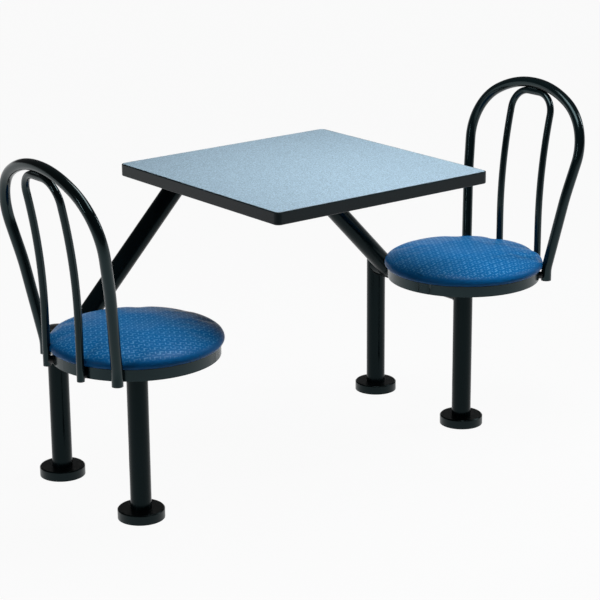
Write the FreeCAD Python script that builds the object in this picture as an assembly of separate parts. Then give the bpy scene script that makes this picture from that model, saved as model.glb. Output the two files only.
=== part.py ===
import FreeCAD, Part
import math
import os

# A square café table and two round swivel seats on one welded tube frame.
# Millimetres, +Z up, floor at Z = 0. X runs from the left seat to the right
# one, Y from the front edge of the table to the rear posts. The origin is on
# the floor, at the centre of the whole part's footprint.
# A seat is drawn about its own axis with +X pointing outwards, away from the
# table, and is then set on its post: as drawn on the right, turned half a turn
# on the left.

# ---- table top ----
table_width = 610.0            # over the edge band
table_corner_r = 13.0
table_height = 737.0           # floor to the worktop
laminate_t = 1.0
core_t = 26.8
backer_t = 0.8
band_t = 3.0                   # T-moulding, its outer leg
band_round = 2.5
barb_t = 2.0
barb_depth = 9.5
barb_clear = 0.1

# ---- round tube frame ----
post_d = 48.3
post_wall = 3.2
post_x = 490.0                 # centre plane to each pair of posts
seat_ahead = 25.3              # seat post, in front of the table's centre
rear_behind = 314.0            # rear post, behind the table's centre
arm_behind = 261.6             # sloping arm, behind the table's centre
stretcher_z = 345.0            # axis of the tube that joins the two posts
cope_trim = 3.0                # how far a coped end stops short of the axis it meets
arm_top_x = 146.0              # arm's axis where it meets the rail
cap_skirt = 1.0                # plug that closes the rear post
cap_dome = 2.5
cap_spigot = 14.0
tube_fit = 0.1                 # plugs and sleeves inside a tube's bore

# ---- mounting rail under the table ----
rail_w = 80.0
rail_t = 6.0
rail_front = 240.0             # reach in front of the table's centre
rail_back = 291.0
rail_corner = 8.0
rib_t = 6.0
rib_deep = 34.0                # at the arm
rib_shallow = 8.0              # at the front end
screw_rows = (-205.0, -5.0, 195.0)   # from the table's centre
screw_side = 28.0
screw_d = 5.0
screw_len = 26.0
screw_head_d = 10.0
screw_head_h = 3.0
screw_clear = 0.4

# ---- feet ----
flange_d = 102.0
flange_t = 6.0
flange_bevel = 1.0
anchor_circle_d = 76.0
anchor_count = 4
anchor_d = 9.0
cover_d = 108.0
cover_h = 23.3
cover_wall = 1.8
cover_bevel = 2.5
cover_clear = 0.5

# ---- swivel ----
ring_low = 390.0
ring_h = 26.0
ring_d = 378.0
ring_wall = 3.0
joiner_deg = 10.0
joiner_gap = 1.2
strap_over = 6.0
strap_t = 1.6
strap_h = 14.0
strap_inset = 1.0              # above the band's lower edge
joiner_at_deg = {"right": 197.4, "left": 133.0}
spider_t = 6.0
spider_hub_d = 124.0
spider_arm_root = 46.0
spider_arm_tip = 30.0
spider_blend = 12.0
collar_d = 52.0
collar_t = 4.0
washer_d = 56.0
washer_t = 2.5
axial_play = 0.1
bush_wall = 3.3
bush_flange_d = 44.0
bush_flange_t = 2.5
bush_len = 20.0
shaft_d = 25.4
shaft_play = 0.05              # radial, shaft to bush
housing_flange_d = 92.0
housing_flange_t = 5.0
housing_len = 62.0
clip_t = 2.0
clip_width = 4.5
clip_groove = 1.2
clip_gap = 7.0
shaft_tail = 6.0
stop_pin_d = 8.0
stop_pin_r = 38.0
stop_pin_short = 1.0           # pin's top below the spider's
stop_slot_clear = 0.3
swivel_half_deg = 75.0         # each way from facing the table
seat_hole_clear = 0.3

# ---- seat ----
board_inset = 1.0              # board's edge inside the band's outer face
board_t = 12.0
pad_overhang = 7.8             # widest part of the pad, beyond the band
lip_overhang = 3.0             # foot of the pad, beyond the band
pad_dome_deg = 9.0             # slope of the crown where it meets the roll
pad_belly = 20.0               # widest level above the ring
pad_roll = 14.0                # radius of the rolled edge
pad_gap = 0.3
seat_screw_r = 130.0
seat_screw_len = 9.0
seat_screw_over = 1.0          # pilot hole past the screw's end

# ---- back: two bent tubes ----
outer_tube_d = 25.4
inner_tube_d = 17.5
back_wall = 1.6
leg_low = 386.0                # open end of each leg
outer_spread_deg = 45.3        # from straight back, at the ring
inner_half = 69.0              # half the distance between the inner legs
outer_standoff = 4.0
inner_standoff = 2.5
knee_z = 414.0
knee_r = 100.0
crown_z = 851.2
crown_half = 64.0
crown_r = 245.0
shoulder_drop = 75.2           # below the crown
shoulder_out = 30.8            # further out than the waist
shoulder_r = 135.0
waist_drop = 251.2             # below the crown
waist_behind = 29.1            # further back than the leg's foot
waist_out = 29.5               # further out than the leg's foot
waist_r = 700.0
back_lean = 0.225              # backwards per unit of height, above the waist
inner_corner_r = 50.0
lumbar_straight = 4.0          # inner tube, between its long bend and its corner
crown_gap = 0.85               # filled by the weld
leg_fixing_z = 397.5
leg_bolt_d = 6.0
leg_bolt_clear = 0.2
bolt_head_d = 11.0
bolt_head_h = 3.6
bolt_tail = 1.0                # thread past the insert
head_seat = 0.1                # flat head off the band's hollow face
insert_d = 8.0
insert_len = 5.0               # threaded insert behind the leg's wall
spacer_d = 18.0
plug_head = 2.0
plug_len = 7.0
plug_fit = 0.1
head_taper = 0.7               # top of a screw head or plug, as a share of its foot
cutter_over = 5.0              # a drill runs this far past both faces

# ---- places that follow from the sizes ----
V = FreeCAD.Vector
UP = V(0, 0, 1)
SIDES = {"left": -1, "right": 1}

table_half = table_width / 2
post_r = post_d / 2
post_bore_r = post_r - post_wall
table_y = (table_half - (rear_behind + cover_d / 2)) / 2
seat_y = table_y - seat_ahead
rear_y = table_y + rear_behind
arm_y = table_y + arm_behind
rear_post_top = stretcher_z + post_r

laminate_z = table_height - laminate_t
core_z = laminate_z - core_t
table_low = core_z - backer_t
rail_low = table_low - rail_t

ring_r = ring_d / 2
ring_bore_r = ring_r - ring_wall
ring_top = ring_low + ring_h
spider_low = ring_top - spider_t
collar_low = spider_low - collar_t
washer_top = collar_low - axial_play
washer_low = washer_top - washer_t
housing_top = washer_low - bush_flange_t
post_top = housing_top - housing_flange_t
housing_low = post_top - housing_len
clip_z = housing_low - bush_flange_t - axial_play - clip_t
shaft_r = shaft_d / 2
bush_bore_r = shaft_r + shaft_play
bush_r = bush_bore_r + bush_wall
board_r = ring_r - board_inset
board_top = ring_top + board_t

outer_r = outer_tube_d / 2
inner_r = inner_tube_d / 2
outer_leg_r = ring_r + outer_standoff + outer_r
inner_leg_r = ring_r + inner_standoff + inner_r


def rounded_rect(half_x, half_y, r, z, height, x=0.0, y=0.0):
    """A flat slab with rounded corners, centred on x, y."""
    slab = Part.makeBox(2 * half_x, 2 * half_y, height, V(x - half_x, y - half_y, z))
    corners = [e for e in slab.Edges if abs(e.tangentAt(e.FirstParameter).z) > 0.99]
    return slab.makeFillet(r, corners) if r > 0 else slab


def turned(profile, cx=0.0, cy=0.0):
    """Revolve a closed (radius, z) outline about the vertical line at cx, cy."""
    points = [V(cx + r, cy, z) for r, z in profile]
    face = Part.Face(Part.makePolygon(points + points[:1]))
    return face.revolve(V(cx, cy, 0), UP, 360)


def ring_of(r_out, r_in, z, height, cx=0.0, cy=0.0):
    """A plain washer or sleeve."""
    return turned([(r_in, z), (r_out, z), (r_out, z + height), (r_in, z + height)], cx, cy)


def rod(start, end, r):
    return Part.makeCylinder(r, (end - start).Length, start, end - start)


def pipe(start, end, r, wall):
    return rod(start, end, r).cut(rod(start, end, r - wall))


def polar(r, degrees, z=0.0):
    a = math.radians(degrees)
    return V(r * math.cos(a), r * math.sin(a), z)


def polar_xz(r, degrees):
    a = math.radians(degrees)
    return V(r * math.cos(a), 0, r * math.sin(a))


def place(shape, side):
    """Set a shape drawn about the seat's axis on the post of that side."""
    placed = shape.copy()
    if SIDES[side] < 0:
        placed.rotate(V(0, 0, 0), UP, 180)
    placed.translate(V(SIDES[side] * post_x, seat_y, 0))
    return placed


def sector(r, z, height, from_deg, to_deg):
    """A pie slice of a disc about the Z axis."""
    slice_ = Part.makeCylinder(r, height, V(0, 0, z), UP, to_deg - from_deg)
    slice_.rotate(V(0, 0, 0), UP, from_deg)
    return slice_


def tapered_head(base, direction, r, height):
    """A low head: half of its height straight, the other half tapering in."""
    foot = Part.makeCylinder(r, height / 2, base, direction)
    top = Part.makeCone(r, r * head_taper, height / 2, base + direction * height / 2, direction)
    return foot.fuse(top)


def pan_head_screw(seat, length):
    """A screw pointing up, its head under the seat."""
    shank = Part.makeCylinder(screw_d / 2, length, seat)
    return shank.fuse(tapered_head(seat, -UP, screw_head_d / 2, screw_head_h))


def bent_path(points, radii):
    """Straight runs through the points, joined by tangent arcs of the given radii."""
    edges, last = [], points[0]
    for before, corner, after, r in zip(points, points[1:], points[2:], radii):
        into = (corner - before).normalize()
        out = (after - corner).normalize()
        turn = into.getAngle(out)
        run = r * math.tan(turn / 2)
        start, end = corner - into * run, corner + out * run
        inward = (out - into).normalize()
        middle = corner + inward * (r / math.cos(turn / 2) - r)
        edges.append(Part.LineSegment(last, start).toShape())
        edges.append(Part.Arc(start, middle, end).toShape())
        last = end
    edges.append(Part.LineSegment(last, points[-1]).toShape())
    return Part.Wire(edges)


def swept(path, r):
    """A round bar of radius r along a path that starts by going up."""
    circle = Part.Wire([Part.makeCircle(r, path.Edges[0].valueAt(0), UP)])
    return path.makePipeShell([circle], True, False)


# ---- table ----

def table_screw_spots():
    return [(side * arm_top_x + s * screw_side, table_y + row)
            for side in SIDES.values() for row in screw_rows for s in (-1, 1)]


def table_core():
    half = table_half - band_t
    core = rounded_rect(half, half, table_corner_r - band_t, core_z, core_t, 0, table_y)
    groove_z = core_z + core_t / 2 - barb_t / 2 - barb_clear
    groove = rounded_rect(half + cutter_over, half + cutter_over, table_corner_r, groove_z,
                          barb_t + 2 * barb_clear, 0, table_y)
    inner = half - barb_depth - barb_clear
    groove = groove.cut(rounded_rect(inner, inner, table_corner_r / 2, groove_z,
                                     barb_t + 2 * barb_clear, 0, table_y))
    holes = [Part.makeCylinder(screw_d / 2, screw_len - rail_t - backer_t, V(x, y, core_z))
             for x, y in table_screw_spots()]
    return core.cut([groove] + holes)


def table_sheet(z, t, drilled):
    half = table_half - band_t
    sheet = rounded_rect(half, half, table_corner_r - band_t, z, t, 0, table_y)
    if drilled:
        sheet = sheet.cut([Part.makeCylinder(screw_d / 2, t, V(x, y, z))
                           for x, y in table_screw_spots()])
    return sheet


def table_edge_band():
    height = table_height - table_low
    outer = rounded_rect(table_half, table_half, table_corner_r, table_low, height, 0, table_y)
    rim = [e for e in outer.Edges if abs(e.BoundBox.ZLength) < 0.01]
    outer = outer.makeFillet(band_round, rim)
    half = table_half - band_t
    band = outer.cut(rounded_rect(half, half, table_corner_r - band_t, table_low, height,
                                  0, table_y))
    barb_z = core_z + core_t / 2 - barb_t / 2
    barb = rounded_rect(half, half, table_corner_r - band_t, barb_z, barb_t, 0, table_y)
    inner = half - barb_depth
    barb = barb.cut(rounded_rect(inner, inner, table_corner_r / 2, barb_z, barb_t, 0, table_y))
    return band.fuse(barb).removeSplitter()


def table_screws():
    """Pan-head screws up through the rails into the core."""
    return Part.makeCompound([pan_head_screw(V(x, y, rail_low), screw_len)
                              for x, y in table_screw_spots()])


# ---- frame ----

def arm_axis(side):
    """The arm's foot, on the stretcher's axis, and its head, at the rail."""
    s = SIDES[side]
    return V(s * post_x, arm_y, stretcher_z), V(s * arm_top_x, arm_y, rail_low)


def stretcher_rod(side):
    x = SIDES[side] * post_x
    return rod(V(x, seat_y, stretcher_z), V(x, rear_y, stretcher_z), post_r)


def table_rail(side):
    """Flat bar under the top, stiffened by a rib that tapers to the front."""
    x = SIDES[side] * arm_top_x
    front, back = table_y - rail_front, table_y + rail_back
    rail = rounded_rect(rail_w / 2, (back - front) / 2, rail_corner, rail_low, rail_t,
                        x, (back + front) / 2)
    profile = [V(x - rib_t / 2, front + rail_corner, rail_low),
               V(x - rib_t / 2, front + rail_corner, rail_low - rib_shallow),
               V(x - rib_t / 2, arm_y, rail_low - rib_deep),
               V(x - rib_t / 2, arm_y, rail_low)]
    rib = Part.Face(Part.makePolygon(profile + profile[:1])).extrude(V(rib_t, 0, 0))
    foot, head = arm_axis(side)
    beyond = head + (head - foot).normalize() * 2 * post_r
    rib = rib.cut(rod(foot, beyond, post_r))
    holes = [Part.makeCylinder(screw_d / 2 + screw_clear, rail_t, V(hx, hy, rail_low))
             for hx, hy in table_screw_spots()]
    return rail.fuse(rib).removeSplitter().cut(holes)


def arm(side):
    """Sloping tube from the stretcher up to the rail, coped at its foot."""
    foot, head = arm_axis(side)
    along = (head - foot).normalize()
    tube = pipe(foot + along * cope_trim, head + along * 2 * post_r, post_r, post_wall)
    above = Part.makeBox(6 * post_d, 4 * post_d, 4 * post_d,
                         V(head.x - 3 * post_d, arm_y - 2 * post_d, rail_low))
    return tube.cut([stretcher_rod(side), above])


def stretcher(side):
    """Level tube between the two posts, coped to both."""
    x = SIDES[side] * post_x
    tube = pipe(V(x, seat_y + cope_trim, stretcher_z), V(x, rear_y - cope_trim, stretcher_z),
                post_r, post_wall)
    return tube.cut([rod(V(x, y, 0), V(x, y, post_top), post_r) for y in (seat_y, rear_y)])


def stretcher_cap(side):
    """Low domed plug over the stretcher's rear end, in the top of the rear post."""
    x = SIDES[side] * post_x
    skirt = V(x, rear_y, rear_post_top + cap_skirt)
    crown = skirt + UP * cap_dome
    rim = skirt + V(post_r, 0, 0)
    sphere_r = (post_r ** 2 + cap_dome ** 2) / (2 * cap_dome)
    half_deg = math.degrees(math.asin(post_r / sphere_r)) / 2
    middle = crown - UP * sphere_r + polar_xz(sphere_r, 90 - half_deg)
    dome = Part.Face(Part.Wire([Part.Arc(rim, middle, crown).toShape(),
                                Part.makeLine(crown, skirt), Part.makeLine(skirt, rim)]))
    dome = dome.revolve(skirt, UP, 360)
    disc = Part.makeCylinder(post_r, cap_skirt, skirt - UP * cap_skirt)
    spigot = Part.makeCylinder(post_bore_r - tube_fit, cap_spigot,
                               skirt - UP * (cap_skirt + cap_spigot))
    return disc.fuse([dome, spigot]).removeSplitter()


def rear_post(side):
    """Upright tube, level with the stretcher's top."""
    x = SIDES[side] * post_x
    return pipe(V(x, rear_y, flange_t), V(x, rear_y, rear_post_top), post_r, post_wall)


def seat_post(side):
    x = SIDES[side] * post_x
    return pipe(V(x, seat_y, flange_t), V(x, seat_y, post_top), post_r, post_wall)


def flange(x, y):
    """Floor disc with anchor holes, welded under a post."""
    r = flange_d / 2
    disc = turned([(0, 0), (r, 0), (r, flange_t - flange_bevel), (r - flange_bevel, flange_t),
                   (0, flange_t)], x, y)
    holes = []
    for i in range(anchor_count):
        spot = V(x, y, 0) + polar(anchor_circle_d / 2, 45 + i * 360 / anchor_count)
        holes.append(Part.makeCylinder(anchor_d / 2, flange_t, spot))
    return disc.cut(holes)


def cover(x, y):
    """Pressed drum that slides down the post and hides the flange."""
    r, w, b = cover_d / 2, cover_wall, cover_bevel
    hole = post_r + cover_clear
    return turned([(r - w, 0), (r, 0), (r, cover_h - b), (r - b, cover_h), (hole, cover_h),
                   (hole, cover_h - w), (r - b - w / 2, cover_h - w), (r - w, cover_h - b - w / 2)],
                  x, y)


# ---- swivel, drawn about the seat's axis ----

def swivel_housing():
    """Flanged sleeve in the top of the seat post, with the stop pin."""
    body = ring_of(post_bore_r - tube_fit, bush_r, housing_low, housing_len)
    body = body.fuse(ring_of(housing_flange_d / 2, bush_r, post_top, housing_flange_t))
    pin_top = ring_top - stop_pin_short
    pin = Part.makeCylinder(stop_pin_d / 2, pin_top - post_top, polar(stop_pin_r, 180, post_top))
    return body.fuse(pin).removeSplitter()


def upper_bush():
    sleeve = ring_of(bush_r, bush_bore_r, housing_top - bush_len, bush_len)
    return sleeve.fuse(ring_of(bush_flange_d / 2, bush_bore_r, housing_top, bush_flange_t)
                       ).removeSplitter()


def lower_bush():
    sleeve = ring_of(bush_r, bush_bore_r, housing_low, bush_len)
    lip = ring_of(post_bore_r - tube_fit, bush_bore_r, housing_low - bush_flange_t, bush_flange_t)
    return sleeve.fuse(lip).removeSplitter()


def thrust_washer():
    return ring_of(washer_d / 2, shaft_r + seat_hole_clear, washer_low, washer_t)


def spindle():
    """Turned shaft with a collar under the spider and a clip groove near its foot."""
    groove = shaft_r - clip_groove
    low = clip_z - shaft_tail
    return turned([(0, low), (shaft_r - 1, low), (shaft_r, low + 1), (shaft_r, clip_z),
                   (groove, clip_z), (groove, clip_z + clip_t), (shaft_r, clip_z + clip_t),
                   (shaft_r, collar_low), (collar_d / 2, collar_low), (collar_d / 2, spider_low),
                   (shaft_r, spider_low), (shaft_r, ring_top), (0, ring_top)])


def spindle_clip():
    """Open retaining ring in the spindle's groove."""
    r = shaft_r - clip_groove
    clip = ring_of(r + clip_width, r, clip_z, clip_t)
    return clip.cut(Part.makeBox(2 * post_r, clip_gap, clip_t, V(0, -clip_gap / 2, clip_z)))


def seat_screw_spots():
    return [polar(seat_screw_r, a, spider_low) for a in (0, 90, 180, 270)]


def seat_spider():
    """Four tapered arms out to the ring, with the arc slot that the stop pin runs in."""
    plate = Part.makeCylinder(spider_hub_d / 2, spider_t, V(0, 0, spider_low))
    root, tip = spider_arm_root / 2, spider_arm_tip / 2
    outline = [V(0, -root, spider_low), V(ring_r, -tip, spider_low),
               V(ring_r, tip, spider_low), V(0, root, spider_low)]
    bar = Part.Face(Part.makePolygon(outline + outline[:1])).extrude(V(0, 0, spider_t))
    bars = []
    for a in (0, 90, 180, 270):
        turned_bar = bar.copy()
        turned_bar.rotate(V(0, 0, 0), UP, a)
        bars.append(turned_bar)
    plate = plate.fuse(bars).removeSplitter()
    hub_r = spider_hub_d / 2
    blends = [e for e in plate.Edges if abs(e.BoundBox.ZLength - spider_t) < 0.01
              and abs(math.hypot(e.CenterOfMass.x, e.CenterOfMass.y) - hub_r) < 0.01 * hub_r]
    plate = plate.makeFillet(spider_blend, blends)
    plate = plate.common(Part.makeCylinder(ring_bore_r, spider_t, V(0, 0, spider_low)))
    half_width = stop_pin_d / 2 + stop_slot_clear
    slot = ring_of(stop_pin_r + half_width, stop_pin_r - half_width, spider_low, spider_t)
    slot = slot.common(sector(ring_r, spider_low, spider_t, 180 - swivel_half_deg,
                              180 + swivel_half_deg))
    ends = [Part.makeCylinder(half_width, spider_t,
                              polar(stop_pin_r, 180 + s * swivel_half_deg, spider_low))
            for s in (-1, 1)]
    holes = [Part.makeCylinder(screw_d / 2 + screw_clear, spider_t, p) for p in seat_screw_spots()]
    centre = Part.makeCylinder(shaft_r, spider_t, V(0, 0, spider_low))
    return plate.cut([slot.fuse(ends), centre] + holes)


# ---- seat, drawn about its own axis ----

def leg_spots():
    """Angle, leg radius and tube radius of the four legs."""
    inner_spread = math.degrees(math.asin(inner_half / inner_leg_r))
    return ([(s * outer_spread_deg, outer_leg_r, outer_r) for s in (-1, 1)]
            + [(s * inner_spread, inner_leg_r, inner_r) for s in (-1, 1)])


def radial_rod(angle, r_from, r_to, radius):
    return rod(polar(r_from, angle, leg_fixing_z), polar(r_to, angle, leg_fixing_z), radius)


def bolt_holes():
    """Drilled from inside the band as far as each leg's axis."""
    return [radial_rod(a, ring_bore_r - cutter_over, r, leg_bolt_d / 2 + leg_bolt_clear)
            for a, r, _ in leg_spots()]


def seat_ring(side):
    """Rolled flat band round the seat, open where the joiner closes it."""
    at, half = joiner_at_deg[side], joiner_deg / 2
    gap = sector(ring_r + cutter_over, ring_low, ring_h, at - half, at + half)
    return ring_of(ring_r, ring_bore_r, ring_low, ring_h).cut([gap] + bolt_holes())


def ring_joiner(side):
    """Filler in the band's gap, on a strap welded behind the band's two ends."""
    at = joiner_at_deg[side]
    gap = math.degrees(joiner_gap / ring_r)
    over = math.degrees(strap_over / ring_r)
    half = joiner_deg / 2
    filler = ring_of(ring_r, ring_bore_r, ring_low, ring_h).common(
        sector(ring_r + cutter_over, ring_low, ring_h, at - half + gap, at + half - gap))
    strap_z = ring_low + strap_inset
    strap = ring_of(ring_bore_r, ring_bore_r - strap_t, strap_z, strap_h).common(
        sector(ring_r, strap_z, strap_h, at - half - over, at + half + over))
    return filler.fuse(strap).removeSplitter()


def seat_board():
    depth = seat_screw_len - spider_t + seat_screw_over
    holes = [Part.makeCylinder(screw_d / 2, depth, V(p.x, p.y, ring_top))
             for p in seat_screw_spots()]
    return Part.makeCylinder(board_r, board_t, V(0, 0, ring_top)).cut(holes)


def seat_screws():
    return Part.makeCompound([pan_head_screw(p, seat_screw_len) for p in seat_screw_spots()])


def seat_pad():
    """Upholstered pad: rolled edge, low crown, a recess for the board, dents at the legs."""
    low = ring_top + pad_gap
    belly_z = ring_top + pad_belly
    lip, belly = ring_r + lip_overhang, ring_r + pad_overhang
    roll_centre = V(belly - pad_roll, 0, belly_z)
    roll_top = roll_centre + polar_xz(pad_roll, 90 - pad_dome_deg)
    roll_mid = roll_centre + polar_xz(pad_roll, (90 - pad_dome_deg) / 2)
    side_mid = V((lip + 2 * belly) / 3, 0, (low + belly_z) / 2)
    dome_r = roll_top.x / math.sin(math.radians(pad_dome_deg))
    dome_centre = V(0, 0, roll_top.z - dome_r * math.cos(math.radians(pad_dome_deg)))
    crown = dome_centre + V(0, 0, dome_r)
    dome_mid = dome_centre + polar_xz(dome_r, 90 - pad_dome_deg / 2)
    recess_r, recess_z = board_r + pad_gap, board_top + pad_gap
    points = [crown, V(0, 0, recess_z), V(recess_r, 0, recess_z), V(recess_r, 0, low),
              V(lip, 0, low)]
    edges = [Part.makeLine(a, b) for a, b in zip(points, points[1:])]
    edges.append(Part.Arc(points[-1], side_mid, roll_centre + V(pad_roll, 0, 0)).toShape())
    edges.append(Part.Arc(roll_centre + V(pad_roll, 0, 0), roll_mid, roll_top).toShape())
    edges.append(Part.Arc(roll_top, dome_mid, crown).toShape())
    pad = Part.Face(Part.Wire(edges)).revolve(V(0, 0, 0), UP, 360)
    return pad.cut([swept(outer_path(), outer_r + pad_gap), swept(inner_path(), inner_r + pad_gap)])


def hoop(points, radii):
    """Path of a hoop, given one leg and half of the top."""
    return bent_path(points + [V(p.x, -p.y, p.z) for p in reversed(points)],
                     radii + radii[::-1])


def outer_path():
    """Upright feet, splayed legs, rounded shoulders and a flat crown."""
    foot = polar(outer_leg_r, outer_spread_deg, leg_low)
    knee = V(foot.x, foot.y, knee_z)
    waist = V(foot.x + waist_behind, foot.y + waist_out, crown_z - waist_drop)
    shoulder_rise = waist_drop - shoulder_drop
    shoulder = waist + V(back_lean * shoulder_rise, shoulder_out, shoulder_rise)
    crown = V(waist.x + back_lean * waist_drop, crown_half, crown_z)
    return hoop([foot, knee, waist, shoulder, crown], [knee_r, waist_r, shoulder_r, crown_r])


def inner_path():
    """Upright legs that curve back, closed across the top just under the outer crown."""
    leg_x = math.sqrt(inner_leg_r ** 2 - inner_half ** 2)
    crown_x = polar(outer_leg_r, outer_spread_deg).x + waist_behind + back_lean * waist_drop
    top = V(crown_x, inner_half, crown_z - outer_r - inner_r - crown_gap)
    lumbar = V(leg_x, inner_half, top.z - (crown_x - leg_x) / back_lean)
    run = (top - lumbar).Length - inner_corner_r - lumbar_straight
    lumbar_r = run / math.tan(math.atan(back_lean) / 2)
    return hoop([V(leg_x, inner_half, leg_low), lumbar, top], [lumbar_r, inner_corner_r])


def back_tube(path, r):
    return swept(path, r).cut([swept(path, r - back_wall)] + bolt_holes())


def leg_spacers():
    """Short sleeves, saddled to the band on one side and the leg on the other."""
    ring_disc = Part.makeCylinder(ring_r, ring_h, V(0, 0, ring_low))
    spacers = []
    for angle, r, tube in leg_spots():
        leg = rod(polar(r, angle, leg_low), polar(r, angle, knee_z), tube)
        sleeve = radial_rod(angle, ring_bore_r, r, spacer_d / 2)
        spacers.append(sleeve.cut([ring_disc, leg] + bolt_holes()))
    return Part.makeCompound(spacers)


def leg_bolts():
    """Button-head bolts from inside the band, each in a threaded insert in its leg."""
    bolts = []
    inside = ring_bore_r - head_seat
    for angle, r, tube in leg_spots():
        bore_r = tube - back_wall
        insert = radial_rod(angle, r - bore_r, r - bore_r + insert_len, insert_d / 2).common(
            rod(polar(r, angle, leg_low), polar(r, angle, knee_z), bore_r))
        shank = radial_rod(angle, inside, r - bore_r + insert_len + bolt_tail, leg_bolt_d / 2)
        head = tapered_head(polar(inside, angle, leg_fixing_z), -polar(1, angle),
                            bolt_head_d / 2, bolt_head_h)
        bolts.append(shank.fuse([head, insert]).removeSplitter())
    return Part.makeCompound(bolts)


def leg_plugs():
    """Plastic plugs in the open ends of the legs."""
    plugs = []
    for angle, r, tube in leg_spots():
        foot = polar(r, angle, leg_low)
        spigot = Part.makeCylinder(tube - back_wall - plug_fit, plug_len, foot)
        plugs.append(spigot.fuse(tapered_head(foot, -UP, tube - plug_fit, plug_head)))
    return Part.makeCompound(plugs)


def build():
    nodes = {
        "table_core": table_core(),
        "table_laminate": table_sheet(laminate_z, laminate_t, False),
        "table_backer": table_sheet(table_low, backer_t, True),
        "table_edge_band": table_edge_band(),
        "table_screws": table_screws(),
    }
    for side, s in SIDES.items():
        nodes[side + "_table_rail"] = table_rail(side)
        nodes[side + "_arm"] = arm(side)
        nodes[side + "_stretcher"] = stretcher(side)
        nodes[side + "_stretcher_cap"] = stretcher_cap(side)
        nodes[side + "_rear_post"] = rear_post(side)
        nodes[side + "_seat_post"] = seat_post(side)
        for foot, y in (("seat", seat_y), ("rear", rear_y)):
            nodes[f"{side}_{foot}_flange"] = flange(s * post_x, y)
            nodes[f"{side}_{foot}_cover"] = cover(s * post_x, y)
        nodes[side + "_seat_ring"] = place(seat_ring(side), side)
        nodes[side + "_ring_joiner"] = place(ring_joiner(side), side)
    for name, make in (("swivel_housing", swivel_housing), ("upper_bush", upper_bush),
                       ("lower_bush", lower_bush), ("thrust_washer", thrust_washer),
                       ("spindle", spindle), ("spindle_clip", spindle_clip),
                       ("seat_spider", seat_spider), ("seat_board", seat_board),
                       ("seat_screws", seat_screws), ("seat_pad", seat_pad),
                       ("back_outer", lambda: back_tube(outer_path(), outer_r)),
                       ("back_inner", lambda: back_tube(inner_path(), inner_r)),
                       ("leg_spacers", leg_spacers), ("leg_bolts", leg_bolts),
                       ("leg_plugs", leg_plugs)):
        shape = make()
        for side in SIDES:
            nodes[f"{side}_{name}"] = place(shape, side)
    return nodes


os.makedirs("parts", exist_ok=True)
for node, shape in build().items():
    shape.exportStep(os.path.join("parts", node + ".step"))
    print(node, "valid" if shape.isValid() else "NOT VALID", len(shape.Solids), "solids",
          round(shape.Volume / 1000, 2), "cm3")
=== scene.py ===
# %% [markdown]
# # A café table with two swivel seats
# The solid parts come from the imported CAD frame, at their real size and place, in metres. This
# script gives every part its finish, and adds what a CAD model leaves out: upholstered pads, weld
# beads and the drive sockets of screws and bolts.

# %% Load the frame
import math
import bpy
from mathutils import Matrix, Quaternion, Vector


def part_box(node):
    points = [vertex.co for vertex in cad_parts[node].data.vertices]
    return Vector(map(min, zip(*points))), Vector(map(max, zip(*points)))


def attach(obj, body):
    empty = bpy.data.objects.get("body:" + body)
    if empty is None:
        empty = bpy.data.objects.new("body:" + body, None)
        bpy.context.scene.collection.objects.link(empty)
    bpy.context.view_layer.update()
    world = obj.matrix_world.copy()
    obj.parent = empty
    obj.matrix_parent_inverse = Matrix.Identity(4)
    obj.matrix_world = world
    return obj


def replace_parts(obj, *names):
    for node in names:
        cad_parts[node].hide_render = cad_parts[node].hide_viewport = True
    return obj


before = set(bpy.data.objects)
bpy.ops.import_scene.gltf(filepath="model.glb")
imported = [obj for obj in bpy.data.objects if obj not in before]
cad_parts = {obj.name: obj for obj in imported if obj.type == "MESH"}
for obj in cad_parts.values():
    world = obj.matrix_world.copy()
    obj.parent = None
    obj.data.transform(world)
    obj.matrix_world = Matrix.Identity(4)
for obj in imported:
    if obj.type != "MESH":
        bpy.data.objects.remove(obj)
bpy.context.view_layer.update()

SIDES = {"left": -1, "right": 1}
MM = 0.001

# %% [markdown]
# ## Camera
# The table is looked down on from the front left, from not quite five metres away, through a long
# lens, so that its verticals stay nearly parallel. A rotation built from turn, tilt and roll is
# easier to read, and to change, than three Euler angles.

# %% Camera
camera_place = Vector((-2.831, -3.662, 1.810))
turn_deg, tilt_deg, roll_deg = 37.86, 16.86, -0.44
focal_mm = 121.9

rotation = (Matrix.Rotation(-math.radians(turn_deg), 3, "Z")
            @ Matrix.Rotation(math.radians(90 - tilt_deg), 3, "X")
            @ Matrix.Rotation(math.radians(roll_deg), 3, "Z"))
bpy.ops.object.camera_add(location=camera_place, rotation=rotation.to_euler())
camera = bpy.context.object
camera.data.sensor_width = 36
camera.data.lens = focal_mm
bpy.context.scene.camera = camera
bpy.context.scene.view_settings.view_transform = "Standard"
print("camera", round((camera_place - Vector((0, 0, 0.4))).length, 2), "m from the table")

# %% [markdown]
# ## Floor and light
# A studio for gloss black paint. Black paint shows little colour of its own, only what it mirrors,
# so what stands round it matters more than how much light falls on it. A white floor and a white
# backdrop give the tubes their pale undersides and edges, and a dark room in front keeps them
# black. A wide lamp over the table lights the top and the pads, and two narrow ones at the sides
# draw thin bright lines. Matt surfaces see an even sky instead of the backdrop. Together they stay
# at a plain level, so a colour renders about as it is written.

# %% A helper for nodes, and one for colours
def add_node(tree, kind, settings=None, sockets=None):
    """Add one node, set its properties, and give each socket a value or a link."""
    node = tree.nodes.new(kind)
    for name, value in (settings or {}).items():
        setattr(node, name, value)
    for key, value in (sockets or {}).items():
        if isinstance(value, bpy.types.NodeSocket):
            tree.links.new(value, node.inputs[key])
        else:
            node.inputs[key].default_value = value
    return node


def colour(hex_code):
    """Turn an sRGB hex value into the linear numbers that shaders work in."""
    parts = [int(hex_code[i:i + 2], 16) / 255 for i in (1, 3, 5)]
    return (*[p / 12.92 if p <= 0.04045 else ((p + 0.055) / 1.055) ** 2.4 for p in parts], 1.0)


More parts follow.
